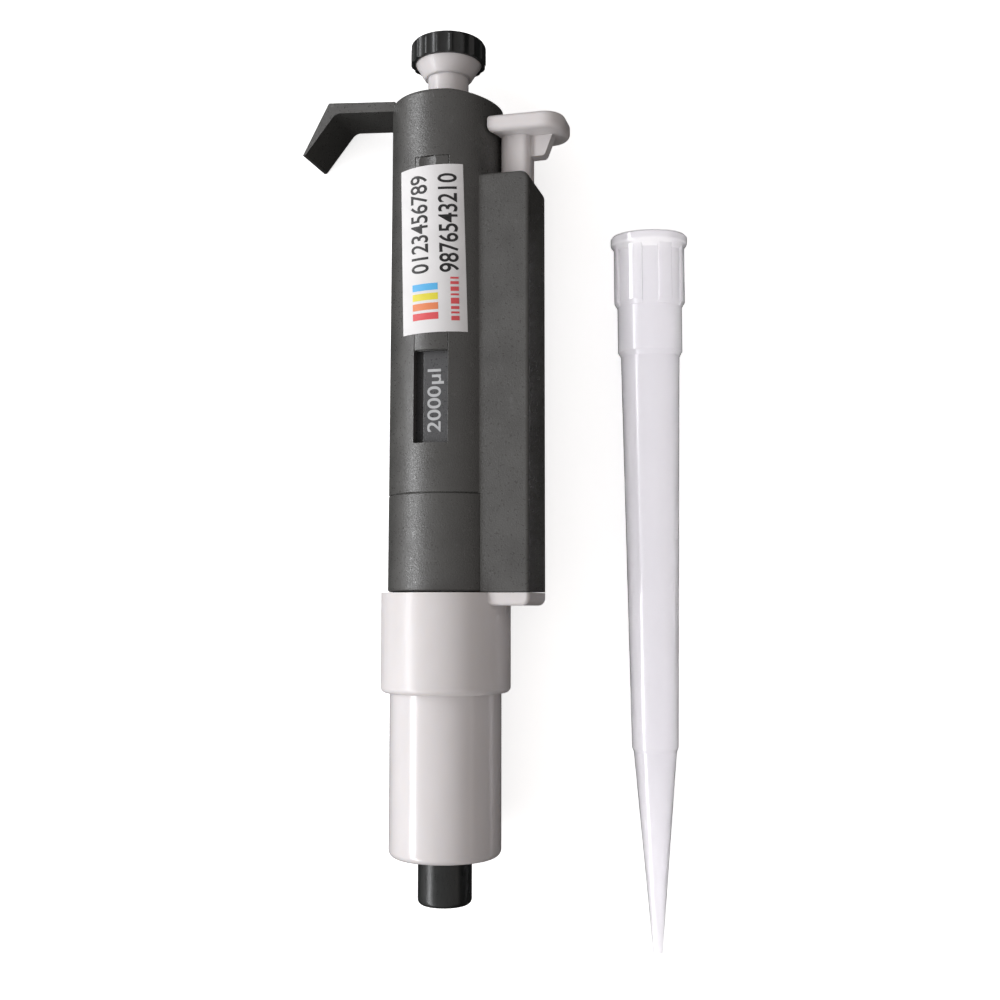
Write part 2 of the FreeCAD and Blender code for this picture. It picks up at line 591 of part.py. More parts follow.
def lay_tip(shape):
    """Upright tip to its side, resting on its lip and on the shoulder above the point."""
    turn(shape, Vector(1, 0, 0), -90)
    turn(shape, Vector(1, 0, 0), TIP_PITCH)
    turn(shape, Vector(0, 0, 1), TIP_TURN)
    pitch = math.radians(TIP_PITCH)
    height = TIP_BODY_R_LOW * math.cos(pitch) - TIP_CONE_LEN * math.sin(pitch)
    shape.translate(Vector(TIP_ASIDE, -TIP_AHEAD, height))
    return shape


PIPETTE = {
    "handle_shell": make_handle_shell, "lower_grip": make_lower_grip, "top_bush": make_top_bush,
    "cover_strip": make_cover_strip, "volume_plate": make_volume_plate, "label": make_label,
    "barrel": make_barrel, "coupling_nut": make_coupling_nut, "spring_seat": make_spring_seat,
    "adjuster_ring": make_adjuster, "knob_ring": make_knob_ring, "knob_core": make_knob_core,
    "plunger_rod": make_plunger_rod, "stop_collar": make_stop_collar, "piston": make_piston,
    "piston_seal": make_piston_seal, "blowout_washer": make_blowout_washer,
    "blowout_spring": make_blowout_spring, "plunger_spring": make_plunger_spring,
    "ejector_spring": make_ejector_spring, "ejector_button": make_ejector_button,
    "ejector_rod": make_ejector_rod, "ejector_screw": make_ejector_screw,
    "ejector_collar": make_ejector_collar, "ejector_sleeve": make_ejector_sleeve,
}


def build_set():
    """Every piece in its place on the bench, with the set's middle over the origin."""
    pieces = {name: lay_down(make()) for name, make in PIPETTE.items()}
    pieces["pipette_tip"] = lay_tip(make_tip())
    box = Part.makeCompound(list(pieces.values())).optimalBoundingBox(False, False)
    shift = Vector(-(box.XMin + box.XMax) / 2, -(box.YMin + box.YMax) / 2, -box.ZMin)
    for shape in pieces.values():
        shape.translate(shift)
    return pieces, shift


PIECES, SHIFT = build_set()
os.makedirs("parts", exist_ok=True)
for name, shape in PIECES.items():
    shape.exportStep("parts/" + name + ".step")
    print(f"{name:16s} solids {len(shape.Solids)} valid {shape.isValid()} volume {shape.Volume:10.2f}")
print(f"pitch {PITCH:.3f} roll {ROLL:.3f} tip pitch {TIP_PITCH:.3f} shift {SHIFT}")
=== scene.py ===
# %% [markdown]
# # A hand pipette and its loose tip
# This lesson dresses a finished engineering model of a laboratory pipette for a picture. The
# model brings every moulded and turned piece at its true size and place. What is added here is
# what an engineer's model has no room for: the grain of the plastics, the print on the label and
# on the volume plate, copies of the springs that ride on their bodies, the light and the camera.
# Lengths are in metres, with +Z up, +Y towards the thumb knob and +X towards the loose tip.

# %% Load the model
import json
import math

import bmesh
import bpy
import numpy as np
from mathutils import Matrix, Vector
from mathutils.bvhtree import BVHTree


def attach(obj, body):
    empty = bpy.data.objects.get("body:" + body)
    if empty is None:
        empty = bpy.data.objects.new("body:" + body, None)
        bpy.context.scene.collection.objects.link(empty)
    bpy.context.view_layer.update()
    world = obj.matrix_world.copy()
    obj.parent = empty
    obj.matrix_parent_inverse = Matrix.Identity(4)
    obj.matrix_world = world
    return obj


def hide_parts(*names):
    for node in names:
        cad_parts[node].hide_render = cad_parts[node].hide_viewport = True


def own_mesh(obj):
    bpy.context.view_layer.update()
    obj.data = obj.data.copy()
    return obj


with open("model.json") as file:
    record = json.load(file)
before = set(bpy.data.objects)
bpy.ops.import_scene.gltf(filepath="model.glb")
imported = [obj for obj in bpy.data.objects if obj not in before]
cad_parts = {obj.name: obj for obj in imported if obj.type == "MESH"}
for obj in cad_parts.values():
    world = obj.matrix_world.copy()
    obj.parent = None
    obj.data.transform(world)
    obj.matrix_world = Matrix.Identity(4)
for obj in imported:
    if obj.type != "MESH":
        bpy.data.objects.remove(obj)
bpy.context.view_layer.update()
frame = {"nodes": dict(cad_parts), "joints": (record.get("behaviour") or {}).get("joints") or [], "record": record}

MM = 0.001
nodes = frame["nodes"]
record = frame["record"]

# %% [markdown]
# ## The pipette's own directions
# The pipette lies on its side, tipped and rolled a little, so nothing on it is level with the
# bench. Print and springs are far easier to place in the pipette's own directions: along its axis
# towards the knob, across towards the ejector button, and inward from the front that carries the
# label. The plunger's slide gives the axis, the nozzle gives a point on it, and the ejector's rod
# stands straight to the side. Worked out from the model, they stay right if a size changes.

# %% Find the pipette's directions
slides = {joint["name"]: joint for joint in frame["joints"]}
mounts = {mount["name"]: mount for mount in record["mounts"]}
along = -Vector(slides["plunger_slide"]["axis"]).normalized()
nozzle = Vector(mounts["nozzle_land"]["pos_m"])


def points_of(node):
    """A piece's corners as rows of x, y, z."""
    rows = np.empty(len(nodes[node].data.vertices) * 3)
    nodes[node].data.vertices.foreach_get("co", rows)
    return rows.reshape(-1, 3)


rod_points = points_of("ejector_rod")
to_rod = Vector((rod_points.min(0) + rod_points.max(0)) / 2) - nozzle
across = (to_rod - along * to_rod.dot(along)).normalized()
inward = along.cross(across)
pipette = Matrix((across, inward, along)).transposed().to_4x4()
pipette.translation = nozzle
to_pipette = np.array(pipette.inverted())
print("along the pipette:", [round(c, 4) for c in along])

# %% [markdown]
# ## Measure pieces in those directions
# A box that is square to the bench says little about a piece that leans. The same box taken in
# the pipette's own directions gives true lengths and middles, so the label, the plate and the
# springs are all measured that way.

# %% Measure the label and the plate


def own_box(node):
    """Lowest and highest corner of a piece in the pipette's directions: across, inward, along."""
    corners = points_of(node) @ to_pipette[:3, :3].T + to_pipette[:3, 3]
    return Vector(corners.min(0)), Vector(corners.max(0))


label_low, label_high = own_box("label")
plate_low, plate_high = own_box("volume_plate")
print("label from", round(label_low.z / MM, 1), "to", round(label_high.z / MM, 1),
      "mm past the nozzle")

# %% [markdown]
# ## Noise for finishes
# A moulded plastic is never one flat colour. Its tool was spark-eroded to a fine grain, and dust
# and handling vary its gloss. Images could carry that, but they need unwrapping. Noise that is
# worked out from each point's own place needs none and never repeats, so every finish here is
# built from a few noises, given by the size of their grains in metres.

# %% Noise helpers
NOISE_LOW, NOISE_HIGH = 0.3, 0.7          # nearly all of a noise's values lie between these
COLOUR_SOCKETS, COLOUR_OUT = (6, 7), 2    # where a mix node takes and gives colours
NUMBER_SOCKETS, NUMBER_OUT = (2, 3), 0    # and where it takes and gives numbers


def new_finish(name):
    """A node material; returns it, its node tree and its shader."""
    finish = bpy.data.materials.new(name)
    finish.use_nodes = True
    return finish, finish.node_tree, finish.node_tree.nodes["Principled BSDF"]


def set_shader(shader, settings):
    """Sets what is the same all over a surface straight on the shader's own sockets."""
    for socket, value in settings.items():
        shader.inputs[socket].default_value = value


def grain(tree, size, detail=3.0, stretch=(1.0, 1.0, 1.0)):
    """Noise between 0 and 1 whose grains are about size metres across, fixed to the piece."""
    place = tree.nodes.new("ShaderNodeTexCoord")
    scale = tree.nodes.new("ShaderNodeMapping")
    scale.inputs["Scale"].default_value = [1 / (size * factor) for factor in stretch]
    noise = tree.nodes.new("ShaderNodeTexNoise")
    noise.inputs["Scale"].default_value = 1.0
    noise.inputs["Detail"].default_value = detail
    tree.links.new(place.outputs["Object"], scale.inputs["Vector"])
    tree.links.new(scale.outputs["Vector"], noise.inputs["Vector"])
    return noise.outputs["Fac"]


def spread(tree, value, low=0.0, high=1.0, start=NOISE_LOW, end=NOISE_HIGH):
    """Maps a noise from start..end on to low..high."""
    node = tree.nodes.new("ShaderNodeMapRange")
    node.inputs["From Min"].default_value = start
    node.inputs["From Max"].default_value = end
    node.inputs["To Min"].default_value = low
    node.inputs["To Max"].default_value = high
    tree.links.new(value, node.inputs["Value"])
    return node.outputs["Result"]


def between(tree, factor, first, second):
    """Colour that goes from first to second with factor; each is a colour or a node's output."""
    node = tree.nodes.new("ShaderNodeMix")
    node.data_type = "RGBA"
    tree.links.new(factor, node.inputs["Factor"])
    for socket, colour in zip(COLOUR_SOCKETS, (first, second)):
        if isinstance(colour, tuple):
            node.inputs[socket].default_value = (*colour, 1.0)
        else:
            tree.links.new(colour, node.inputs[socket])
    return node.outputs[COLOUR_OUT]


print("noise helpers ready")

# %% [markdown]
# ## Edges and relief
# No moulded edge is perfectly sharp. A bevel node leans the surface's direction near an edge,
# which rounds it for the light without any new faces. How far it leans also tells where the edges
# are, so they can be made lighter; on the grey pieces that lighter edge is a painted highlight.
# Grain is raised on top of that direction.

# %% Edge and relief helpers
BEVEL_SAMPLES = 6


def rounded_edges(tree, radius):
    """Normal that rounds sharp edges to a small radius."""
    bevel = tree.nodes.new("ShaderNodeBevel")
    bevel.samples = BEVEL_SAMPLES
    bevel.inputs["Radius"].default_value = radius
    return bevel.outputs["Normal"]


def edge_mask(tree, soft_normal, start, end):
    """0 on open faces, 1 on edges: how far the rounded normal leans from the piece's own."""
    surface = tree.nodes.new("ShaderNodeNewGeometry")
    agree = tree.nodes.new("ShaderNodeVectorMath")
    agree.operation = "DOT_PRODUCT"
    tree.links.new(soft_normal, agree.inputs[0])
    tree.links.new(surface.outputs["Normal"], agree.inputs[1])
    return spread(tree, agree.outputs["Value"], low=1.0, high=0.0, start=1 - end, end=1 - start)


def relief(tree, shader, height, depth, normal=None):
    """Raises the surface by height times depth metres, on top of an earlier normal."""
    bump = tree.nodes.new("ShaderNodeBump")
    bump.inputs["Distance"].default_value = depth
    tree.links.new(height, bump.inputs["Height"])
    if normal is not None:
        tree.links.new(normal, bump.inputs["Normal"])
    tree.links.new(bump.outputs["Normal"], shader.inputs["Normal"])


print("edge helpers ready")

# %% [markdown]
# ## Grey grained plastic
# The handle, its lower grip and the cover strip are moulded in dark warm grey with a fine satin
# grain, which breaks the light into small bright specks. Three noises make it: grains of a third
# of a millimetre that are raised and lowered, slow patches several millimetres wide where hands
# have polished it, and a few pale specks of dust between them. A fourth picks out a few grains
# that are smoother than the rest and glint. Edges carry a painted highlight, a lighter colour.

# %% Grey plastic
GLINT_ROUGHNESS = 0.26     # of the few polished grains that sparkle where the light is bright


def moulded_grey(name, dark, light, dust, painted_edge_highlight, rough):
    """Grained grey plastic; dust is the colour of its pale specks, the edge colour a painted highlight."""
    finish, tree, shader = new_finish(name)
    fine = grain(tree, size=0.3 * MM, detail=4.0)
    patches = grain(tree, size=7 * MM)
    marks = grain(tree, size=1.6 * MM, detail=5.0)
    soft = rounded_edges(tree, radius=0.12 * MM)
    edges = edge_mask(tree, soft, start=0.01, end=0.16)
    body = between(tree, spread(tree, patches), dark, light)
    dusty = between(tree, spread(tree, marks, start=0.66, end=0.80), body, dust)
    # The colour laid on the edges by the mask is a painted highlight.
    tree.links.new(between(tree, edges, dusty, painted_edge_highlight), shader.inputs["Base Color"])
    glints = spread(tree, grain(tree, size=0.5 * MM, detail=2.0), start=0.58, end=0.66)
    gloss = tree.nodes.new("ShaderNodeMix")
    tree.links.new(glints, gloss.inputs["Factor"])
    tree.links.new(spread(tree, patches, *rough), gloss.inputs[NUMBER_SOCKETS[0]])
    gloss.inputs[NUMBER_SOCKETS[1]].default_value = GLINT_ROUGHNESS
    tree.links.new(gloss.outputs[NUMBER_OUT], shader.inputs["Roughness"])
    relief(tree, shader, fine, depth=0.06 * MM, normal=soft)
    set_shader(shader, {"Specular IOR Level": 0.85})
    return finish


# Both greys' edge colours are painted highlights; the plate's draws a bright line of light.
finishes = {
    "grey_plastic": moulded_grey(
        "grey_plastic_grain", dark=(0.046, 0.046, 0.044), light=(0.058, 0.058, 0.055),
        dust=(0.10, 0.10, 0.098), painted_edge_highlight=(0.13, 0.13, 0.127), rough=(0.38, 0.48)),
    "plate_plastic": moulded_grey(
        "plate_plastic_grain", dark=(0.044, 0.046, 0.049), light=(0.052, 0.054, 0.057),
        dust=(0.08, 0.08, 0.085), painted_edge_highlight=(0.36, 0.37, 0.38), rough=(0.34, 0.42)),
}
print("grey finishes:", sorted(finishes))

# %% [markdown]
# ## White plastics
# The ejector's button and collar and the core of the knob are satin off-white; the long sleeve is
# the same plastic from a polished tool, so it shows a sharp streak of light. A thin clear coat
# gives that streak, and the satin pieces have just a trace of it. Light goes a little way into
# white plastic before it comes out, which softens its shade, so a little scattering is mixed in.
# Faint flow patches from the mould and a thin film of handling keep it from looking like paint.

# %% White plastic


def moulded_white(name, clean, aged, rough, depth, coat):
    """Off-white plastic with faint flow patches; depth is the height of its grain."""
    finish, tree, shader = new_finish(name)
    fine = grain(tree, size=0.25 * MM, detail=2.0)
    flow = grain(tree, size=9 * MM, detail=4.0, stretch=(1.0, 2.5, 1.0))
    film = grain(tree, size=2.2 * MM, detail=4.0)
    soft = rounded_edges(tree, radius=0.18 * MM)
    tree.links.new(between(tree, spread(tree, flow), clean, aged), shader.inputs["Base Color"])
    tree.links.new(spread(tree, film, *rough), shader.inputs["Roughness"])
    relief(tree, shader, fine, depth, normal=soft)
    set_shader(shader, {
        "Subsurface Weight": 0.25,
        "Subsurface Radius": (1.0, 0.85, 0.7),
        "Subsurface Scale": 0.8 * MM,
        "Coat Weight": coat,
        "Coat Roughness": 0.08,
    })
    return finish


finishes["white_plastic"] = moulded_white(
    "white_plastic_satin", clean=(0.715, 0.69, 0.692), aged=(0.675, 0.65, 0.65),
    rough=(0.32, 0.40), depth=0.008 * MM, coat=0.12)
finishes["white_gloss"] = moulded_white(
    "white_gloss_polished", clean=(0.72, 0.695, 0.70), aged=(0.68, 0.655, 0.658),
    rough=(0.20, 0.27), depth=0.003 * MM, coat=0.35)
print("white finishes ready")

# %% [markdown]
# ## Black plastic and seal rubber
# The nozzle, the nut and the fluted ring round the knob are nearly black and smooth. A black
# piece gets its look from what it reflects, so its gloss is what varies: faint scuffs run along
# it, and its edges are a shade lighter. The piston's seal is the same black, but dull.

# %% Black plastic and rubber
EDGE_LIGHTER = 1.4     # how much lighter an edge is than the lightest open face


def moulded_black(name, dark, light, rough, depth):
    """Nearly black moulding; depth is the height of its grain."""
    finish, tree, shader = new_finish(name)
    scuffs = grain(tree, size=0.6 * MM, detail=5.0, stretch=(1.0, 4.0, 1.0))
    fine = grain(tree, size=0.2 * MM, detail=2.0)
    soft = rounded_edges(tree, radius=0.3 * MM)
    edges = edge_mask(tree, soft, start=0.02, end=0.25)
    body = between(tree, spread(tree, scuffs), dark, light)
    lighter_edge = tuple(EDGE_LIGHTER * c for c in light)
    tree.links.new(between(tree, edges, body, lighter_edge), shader.inputs["Base Color"])
    tree.links.new(spread(tree, scuffs, *rough), shader.inputs["Roughness"])
    relief(tree, shader, fine, depth, normal=soft)
    return finish


finishes["dark_plastic"] = moulded_black(
    "dark_plastic_smooth", dark=(0.010, 0.012, 0.012), light=(0.016, 0.018, 0.018),
    rough=(0.26, 0.36), depth=0.004 * MM)
finishes["seal_rubber"] = moulded_black(
    "seal_rubber_dull", dark=(0.012, 0.012, 0.012), light=(0.022, 0.022, 0.022),
    rough=(0.55, 0.75), depth=0.012 * MM)
print("black finishes ready")

# %% [markdown]
# ## Turned metal
# The rod, stop collar, washer, screw and springs are steel, and the adjuster is brass. All are
# turned or drawn, so their marks are fine lines. Along a rod those lines are noise squeezed thin
# along the axis, which here lies close to Y.

# %% Metals


def turned_metal(name, dark, light, rough):
    """Bare metal with fine turned lines and a little tarnish."""
    finish, tree, shader = new_finish(name)
    lines = grain(tree, size=0.12 * MM, detail=4.0, stretch=(12.0, 1.0, 12.0))
    tarnish = grain(tree, size=3 * MM)
    tree.links.new(between(tree, spread(tree, tarnish), dark, light), shader.inputs["Base Color"])
    tree.links.new(spread(tree, lines, *rough), shader.inputs["Roughness"])
    relief(tree, shader, lines, depth=0.004 * MM)
    set_shader(shader, {"Metallic": 1.0})
    return finish


finishes["steel"] = turned_metal(
    "steel_turned", dark=(0.50, 0.50, 0.51), light=(0.60, 0.60, 0.61), rough=(0.18, 0.34))
finishes["spring_steel"] = turned_metal(
    "spring_steel_drawn", dark=(0.36, 0.36, 0.38), light=(0.47, 0.47, 0.49), rough=(0.22, 0.4))
finishes["brass"] = turned_metal(
    "brass_turned", dark=(0.62, 0.44, 0.19), light=(0.74, 0.57, 0.29), rough=(0.2, 0.36))
print("metal finishes ready")

# %% [markdown]
# ## Paper and ink
# The label is ordinary white sticker paper. Paper is a mat of fibres, so its noise is stretched
# one way, and its surface is dull. Ink soaks in, so each ink is nearly as dull as the paper under
# it and keeps a trace of its fibres.

# %% Paper and ink
FIBRE_CHANGE = 0.08     # how far the fibres move the roughness either way


def fibrous(name, clean, dull, rough):
    """Paper, or ink that has soaked into it; rough is its middle roughness."""
    finish, tree, shader = new_finish(name)
    fibres = grain(tree, size=0.08 * MM, detail=4.0, stretch=(1.0, 5.0, 1.0))
    shade = grain(tree, size=4 * MM, detail=2.0)
    tree.links.new(between(tree, spread(tree, shade), clean, dull), shader.inputs["Base Color"])
    tree.links.new(spread(tree, fibres, rough - FIBRE_CHANGE, rough + FIBRE_CHANGE),
                   shader.inputs["Roughness"])
    relief(tree, shader, fibres, depth=0.006 * MM)
    return finish


finishes["label_paper"] = fibrous("label_paper_fibres", clean=(0.76, 0.755, 0.76),
                                  dull=(0.72, 0.715, 0.72), rough=0.62)
INK_COLOURS = {     # clean colour, duller colour, middle roughness
    "black": ((0.008, 0.008, 0.009), (0.014, 0.014, 0.015), 0.5),
    "red": ((0.72, 0.09, 0.10), (0.66, 0.08, 0.09), 0.5),
    "orange": ((0.78, 0.25, 0.10), (0.74, 0.22, 0.09), 0.5),
    "yellow": ((0.76, 0.68, 0.05), (0.72, 0.64, 0.05), 0.5),
    "blue": ((0.10, 0.46, 0.80), (0.09, 0.42, 0.76), 0.5),
    "pale": ((0.50, 0.51, 0.52), (0.42, 0.43, 0.44), 0.45),
}
inks = {colour: fibrous("ink_" + colour, *look) for colour, look in INK_COLOURS.items()}
print("inks:", sorted(inks))

# %% [markdown]
# ## The tip's milky plastic
# The loose tip is natural polypropylene: it lets light through but blurs it, so it looks milky,
# with darker rims where the wall is seen edge on. Clear glass with a rough surface would look
# like ice. Most of the light passes through and is blurred, a smaller share scatters inside, and
# a trace of glow stands for light that the long wall pipes along itself. A smooth coat on top
# keeps the streaks sharp. The bending is weaker than in the solid plastic, because the real wall
# is so thin.

# %% Tip plastic
tip_finish, tip_tree, tip_shader = new_finish("tip_plastic_milky")
cloud = grain(tip_tree, size=5 * MM, stretch=(1.0, 3.0, 1.0))
tip_grain = grain(tip_tree, size=0.5 * MM, detail=2.0)
tip_colour = between(tip_tree, spread(tip_tree, cloud), (0.965, 0.952, 0.982),
                     (0.945, 0.932, 0.965))
tip_tree.links.new(tip_colour, tip_shader.inputs["Base Color"])
tip_tree.links.new(spread(tip_tree, cloud, low=0.29, high=0.36), tip_shader.inputs["Roughness"])
relief(tip_tree, tip_shader, tip_grain, depth=0.001 * MM)
set_shader(tip_shader, {
    "Transmission Weight": 0.85,
    "IOR": 1.34,
    "Subsurface Weight": 0.6,
    "Subsurface Radius": (1.0, 1.0, 1.0),
    "Subsurface Scale": 1.5 * MM,
    "Coat Weight": 1.0,
    "Coat Roughness": 0.05,
    "Emission Color": (1.0, 0.98, 1.0, 1.0),
    "Emission Strength": 0.03,
})
finishes["tip_plastic"] = tip_finish
print("tip finish ready")

# %% [markdown]
# ## Dress every piece
# The model's record names a finish for each piece, so the finishes are handed out from that list.

# %% Assign the finishes
slot_of = {part["node"]: part["material_slot"] for part in record["subparts"]}
for node, slot_name in slot_of.items():
    for material_slot in nodes[node].material_slots:
        material_slot.material = finishes[slot_name]
print("dressed", len(slot_of), "pieces in", len(set(slot_of.values())), "finishes")

# %% [markdown]
# ## Springs that ride along
# Three springs push the moving pieces back. A rigid copy would poke through its seat when the
# knob is pressed. Each spring is copied and rides on the body that carries it, but the copy stays
# rigid: nothing here makes it shorten.

# %% Springs


def in_scene(name, data):
    """A new object that holds a mesh, a light or a camera, linked into the scene."""
    holder = bpy.data.objects.new(name, data)
    bpy.context.scene.collection.objects.link(holder)
    return holder


def live_spring(node, body):
    """Copy of a spring that rides on a body."""
    low, high = own_box(node)
    spring = in_scene(node + "_wire", nodes[node].data.copy())
    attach(spring, body)
    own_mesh(spring)
    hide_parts(node)


live_spring("blowout_spring", "handle")
live_spring("plunger_spring", "blowout_stop")
live_spring("ejector_spring", "handle")

# %% [markdown]
# ## Letters and bars of ink
# Ink on a wrapped label could be painted with a texture, but real letter shapes are crisper and
# survive any copy of the model. Each line of print starts flat, with x along the line, y up the
# letters and a hair of thickness. Letters come from a text curve, scaled to the size they must
# have.

# %% Flat letters and bars
INK_HALF = 0.018 * MM      # half of the ink's thickness
LETTER_STEPS = 6           # straight pieces in each curve of a letter
LETTER_WEIGHT = 0.012      # how much the letters are fattened, as a share of the font's size


def flat_text(words, tall, wide):
    """Figures as a thin flat mesh, tall metres high and wide metres long, with a corner at 0, 0."""
    curve = bpy.data.curves.new(words, "FONT")
    curve.body = words
    curve.resolution_u = LETTER_STEPS
    curve.extrude = 1.0
    curve.offset = LETTER_WEIGHT
    holder = in_scene(words, curve)
    depsgraph = bpy.context.evaluated_depsgraph_get()
    solid = bpy.data.meshes.new_from_object(holder.evaluated_get(depsgraph))
    bpy.data.objects.remove(holder)
    bpy.data.curves.remove(curve)
    corners = np.array([v.co for v in solid.vertices])
    low, high = corners.min(0), corners.max(0)
    size = (wide / (high[0] - low[0]), tall / (high[1] - low[1]), INK_HALF)
    solid.transform(Matrix.Diagonal((*size, 1.0)) @ Matrix.Translation((-low[0], -low[1], 0)))
    return solid


def flat_bar(low, high, tall):
    """One bar of ink as a thin flat box, from low to high along the line and tall metres high."""
    shape = bmesh.new()
    bmesh.ops.create_cube(shape, size=1.0)
    size = Vector((high - low, tall, 2 * INK_HALF))
    middle = Vector(((low + high) / 2, tall / 2, 0))
    for corner in shape.verts:
        corner.co = middle + Vector(a * b for a, b in zip(corner.co, size))
    solid = bpy.data.meshes.new("bar")
    shape.to_mesh(solid)
    shape.free()
    return solid


print("ink is", round(2 * INK_HALF / MM, 3), "mm thick")

# %% [markdown]
# ## Print that follows a curve
# Flat print has to bend round the handle. It is first cut into narrow strips, both ways, because
# a face can only bend where it has an edge. Every corner is then dropped straight on to the
# surface under it. The back of the ink sinks in a hair and its face stands a hair proud, so no
# gap shows.

# %% Bend print on to a piece
INK_LIFT = 0.012 * MM      # middle of the ink above the paper
STRIP = 0.45 * MM          # widest strip that bends as one flat face
SAME_CORNER = 1e-7         # corners nearer than this are one corner


def in_strips(shape):
    """Cuts a flat mesh across into strips no wider than STRIP, in x and then in y."""
    for normal in (Vector((1, 0, 0)), Vector((0, 1, 0))):
        places = [corner.co.dot(normal) for corner in shape.verts]
        first, last = min(places), max(places)
        count = int((last - first) / STRIP)
        for k in range(1, count + 1):
            cut = first + (last - first) * k / (count + 1)
            bmesh.ops.bisect_plane(shape, geom=shape.verts[:] + shape.edges[:] + shape.faces[:],
                                   plane_co=normal * cut, plane_no=normal)


def lay_print(name, solid, ink, surface_node, drop):
    """Bends flat print on to a piece; drop turns a flat point into a start and a direction."""
    surface = nodes[surface_node].data
    target = BVHTree.FromPolygons([v.co for v in surface.vertices],
                                  [tuple(face.vertices) for face in surface.polygons])
    shape = bmesh.new()
    shape.from_mesh(solid)
    bmesh.ops.remove_doubles(shape, verts=shape.verts[:], dist=SAME_CORNER)
    in_strips(shape)
    missed = 0
    for corner in shape.verts:
        start, direction = drop(corner.co.x, corner.co.y)
        hit = target.ray_cast(start, direction)[0]
        if hit is None:
            missed += 1
            hit = target.find_nearest(start)[0]
        corner.co = hit - direction * (INK_LIFT + corner.co.z)
    bmesh.ops.recalc_face_normals(shape, faces=shape.faces[:])
    shape.to_mesh(solid)
    shape.free()
    solid.name = name
    piece = in_scene(name, solid)
    solid.materials.clear()
    solid.materials.append(ink)
    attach(piece, "handle")
    print(name, "corners", len(solid.vertices), "missed", missed)


print("strips up to", STRIP / MM, "mm wide")

# %% [markdown]
# ## What the label says
# The real label carries a trader's numbers and mark. This one keeps its layout only: two rows of
# figures that simply count up and down, four plain colour bars, and a row of red ticks. The label
# was stuck on by hand and leans a little more than a degree and a half, and so does its print.

# %% Where print goes on the label
LEAN = math.radians(1.65)
DROP_HEIGHT = 2 * MM       # print is dropped from this far in front of the surface
label_middle = (label_low.z + label_high.z) / 2
label_radius = -label_low.y


def on_label(across_mm, along_mm):
    """Drop for print whose corner is this far from the label's middle, reading upwards."""
    def drop(x, y):
        sideways = across_mm * MM - y
        upwards = along_mm * MM + x
        turn = (sideways * math.cos(LEAN) - upwards * math.sin(LEAN)) / label_radius
        height = label_middle + upwards * math.cos(LEAN) + sideways * math.sin(LEAN)
        out = Vector((math.sin(turn), -math.cos(turn), 0))
        start = pipette @ (out * (label_radius + DROP_HEIGHT) + Vector((0, 0, height)))
        return start, -(pipette.to_3x3() @ out)
    return drop


def print_on_label(name, solid, colour, across_mm, along_mm):
    """Lays print of one ink on the label."""
    lay_print(name, solid, inks[colour], "label", on_label(across_mm, along_mm))


print("label radius", round(label_radius / MM, 2), "mm")

# %% Two rows of figures
FIGURE_TALL, ROW_LONG = 4.0 * MM, 20.4 * MM
print_on_label("label_figures_left", flat_text("0123456789", FIGURE_TALL, ROW_LONG), "black",
               across_mm=-0.45, along_mm=-5.0)
print_on_label("label_figures_right", flat_text("9876543210", FIGURE_TALL, ROW_LONG), "black",
               across_mm=5.75, along_mm=-5.1)

# %% Colour bars
BAR_WIDE, BAR_TALL = 1.4 * MM, 5.6 * MM
BARS_START, BAR_STEP = -14.6, 2.0     # mm along from the label's middle, and from bar to bar
for k, colour in enumerate(("red", "orange", "yellow", "blue")):
    print_on_label("label_bar_" + colour, flat_bar(0, BAR_WIDE, BAR_TALL), colour,
                   across_mm=1.3, along_mm=BARS_START + BAR_STEP * k)

# %% Red ticks
TICK_WIDTHS = (0.9, 0.4, 0.6, 1.2, 0.4, 0.9, 0.6, 0.4)     # mm
TICK_GAP = 0.5                                             # mm
TICK_TALL = 1.7 * MM
tick_start = 0.0
for k, wide in enumerate(TICK_WIDTHS):
    tick = flat_bar(tick_start * MM, (tick_start + wide) * MM, TICK_TALL)
    print_on_label("label_tick_" + str(k + 1), tick, "red", across_mm=5.6, along_mm=-15.0)
    tick_start += wide + TICK_GAP

# %% [markdown]
# ## The volume figures
# Behind the window sits a plate with the volume printed in pale ink. The print is dropped
# straight in through the window, on to whatever part of the plate lies under it.

# %% Volume print
VOLUME_TALL, VOLUME_LONG = 3.5 * MM, 12.8 * MM
plate_middle = (plate_low.z + plate_high.z) / 2


def on_plate(across_mm, along_mm):
    """Drop for print whose corner is this far from the plate's middle, reading upwards."""
    def drop(x, y):
        start = Vector((across_mm * MM - y, plate_low.y - DROP_HEIGHT,
                        plate_middle + along_mm * MM + x))
        return pipette @ start, inward
    return drop


lay_print("volume_figures", flat_text("2000µl", VOLUME_TALL, VOLUME_LONG), inks["pale"],
          "volume_plate", on_plate(across_mm=2.45, along_mm=-7.1))

# %% [markdown]
# ## Bench and tent
# The set lies on a light table: a plain white bench that glows, inside a white tent that closes
# it off all round. Neither of the two is allowed to light or mirror itself in the pieces, because
# that would wash out their shaded sides. The tent casts no shadow either, or it would keep the
# sky's glow away.

# %% Bench and tent
TENT_RADIUS = 4.0
TENT_FOOT = -0.2           # the tent is cut off below this height
BENCH_GLOW = 0.66
bench_finish, bench_tree, bench_shader = new_finish("bench_white")
bench_colour = between(bench_tree, grain(bench_tree, size=60 * MM), (0.93, 0.93, 0.93),
                       (0.95, 0.95, 0.95))
bench_tree.links.new(bench_colour, bench_shader.inputs["Base Color"])
set_shader(bench_shader, {
    "Roughness": 0.8,
    "Specular IOR Level": 0.1,
    "Emission Color": (1.0, 1.0, 1.0, 1.0),
    "Emission Strength": BENCH_GLOW,
})


def set_piece(name, shape):
    """Part of the stage: the camera sees it, but it neither lights nor mirrors in the pieces."""
    mesh = bpy.data.meshes.new(name)
    shape.to_mesh(mesh)
    shape.free()
    mesh.materials.append(bench_finish)
    mesh.shade_smooth()
    piece = in_scene(name, mesh)
    piece.visible_diffuse = False
    piece.visible_glossy = False
    return piece


